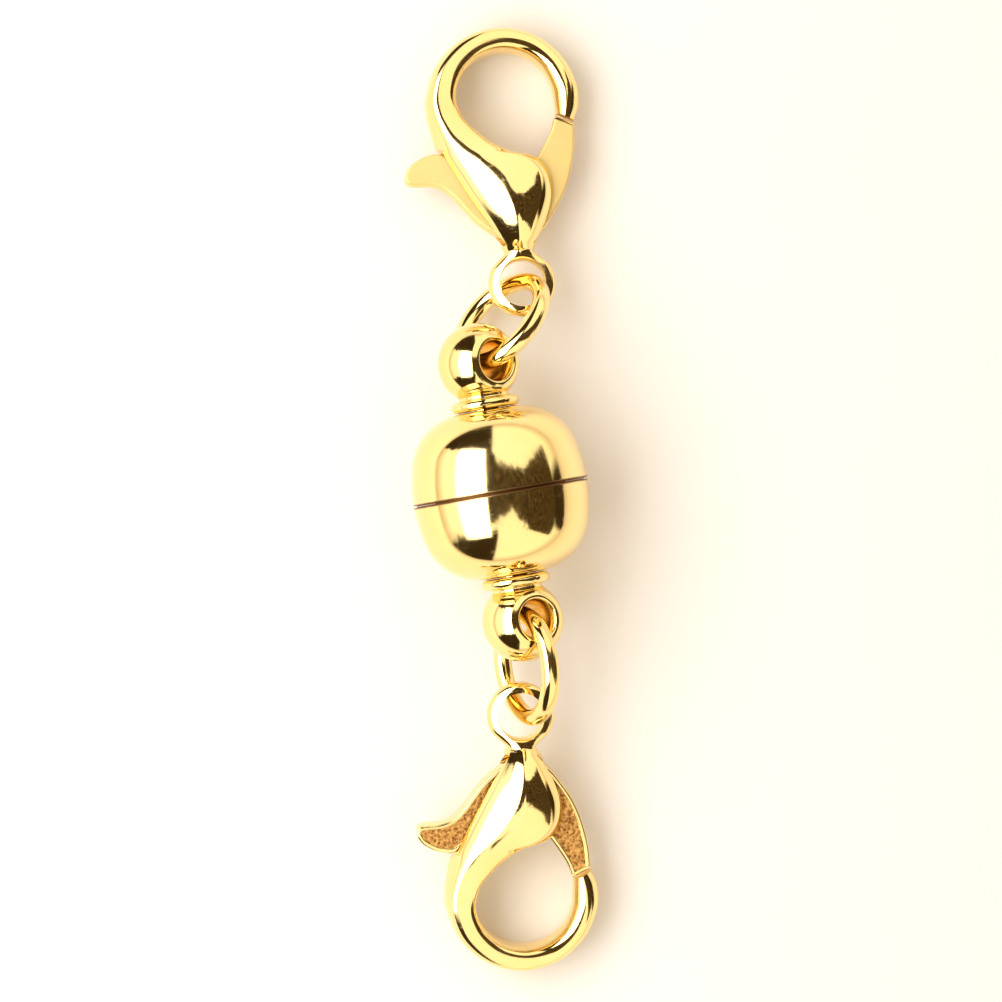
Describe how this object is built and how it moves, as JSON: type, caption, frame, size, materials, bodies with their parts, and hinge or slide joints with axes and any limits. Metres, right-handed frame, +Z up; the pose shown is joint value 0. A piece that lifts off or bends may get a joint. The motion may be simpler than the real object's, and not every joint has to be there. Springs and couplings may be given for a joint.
{
  "type": "magnetic clasp",
  "caption": "Gold-plated magnetic barrel clasp with drilled ball ends, a jump ring on each ball and a lobster claw with thumb lever on each ring, for necklaces.",
  "frame": {"origin": "middle of the clasp's footprint on the table", "axes": "+Y along the barrel's axis towards the upper claw's hook, +Z up from the table, +X to the side the hook gates are on"},
  "size_m": [0.0132, 0.0428, 0.008],
  "materials": {
    "barrel_gold": "mirror-polished gold plate",
    "post_gold": "polished gold plate",
    "ring_gold": "polished gold plate",
    "claw_gold": "mirror-polished gold plate on a casting",
    "lever_gold": "polished gold plate",
    "lever_gold_grained": "grained cast face with a smooth rim",
    "magnet_nickel": "nickel-plated neodymium magnet, smooth",
    "pin_steel": "plain steel pin"
  },
  "bodies": {
    "upper_half": {"shell_upper": "barrel_gold", "magnet_upper": "magnet_nickel", "ball_post_upper": "post_gold", "jump_ring_upper": "ring_gold", "lobster_body_upper": "claw_gold", "pivot_pin_upper": "pin_steel"},
    "lower_half": {"shell_lower": "barrel_gold", "magnet_lower": "magnet_nickel", "ball_post_lower": "post_gold", "jump_ring_lower": "ring_gold", "lobster_body_lower": "claw_gold", "pivot_pin_lower": "pin_steel"},
    "upper_lever": {"trigger_upper": "lever_gold"},
    "lower_lever": {"trigger_lower": "lever_gold_grained"}
  },
  "joints": [
    {"name": "magnet_pull", "type": "slide", "parent": "upper_half", "child": "lower_half", "axis": [0, -1, 0], "range_m": [0, 0.015]},
    {"name": "lever_upper", "type": "hinge", "parent": "upper_half", "child": "upper_lever", "pos_m": [0.00284, 0.01242, 0.00186], "axis": [0.0757, 0.0819, 0.9938], "range_deg": [0, 22], "stiffness_Nm_per_rad": 0.004, "springref_deg": -20.05},
    {"name": "lever_lower", "type": "hinge", "parent": "lower_half", "child": "lower_lever", "pos_m": [-0.00121, -0.01258, 0.00229], "axis": [-0.0472, 0.148, -0.9879], "range_deg": [0, 22], "stiffness_Nm_per_rad": 0.004, "springref_deg": -20.05}
  ]
}
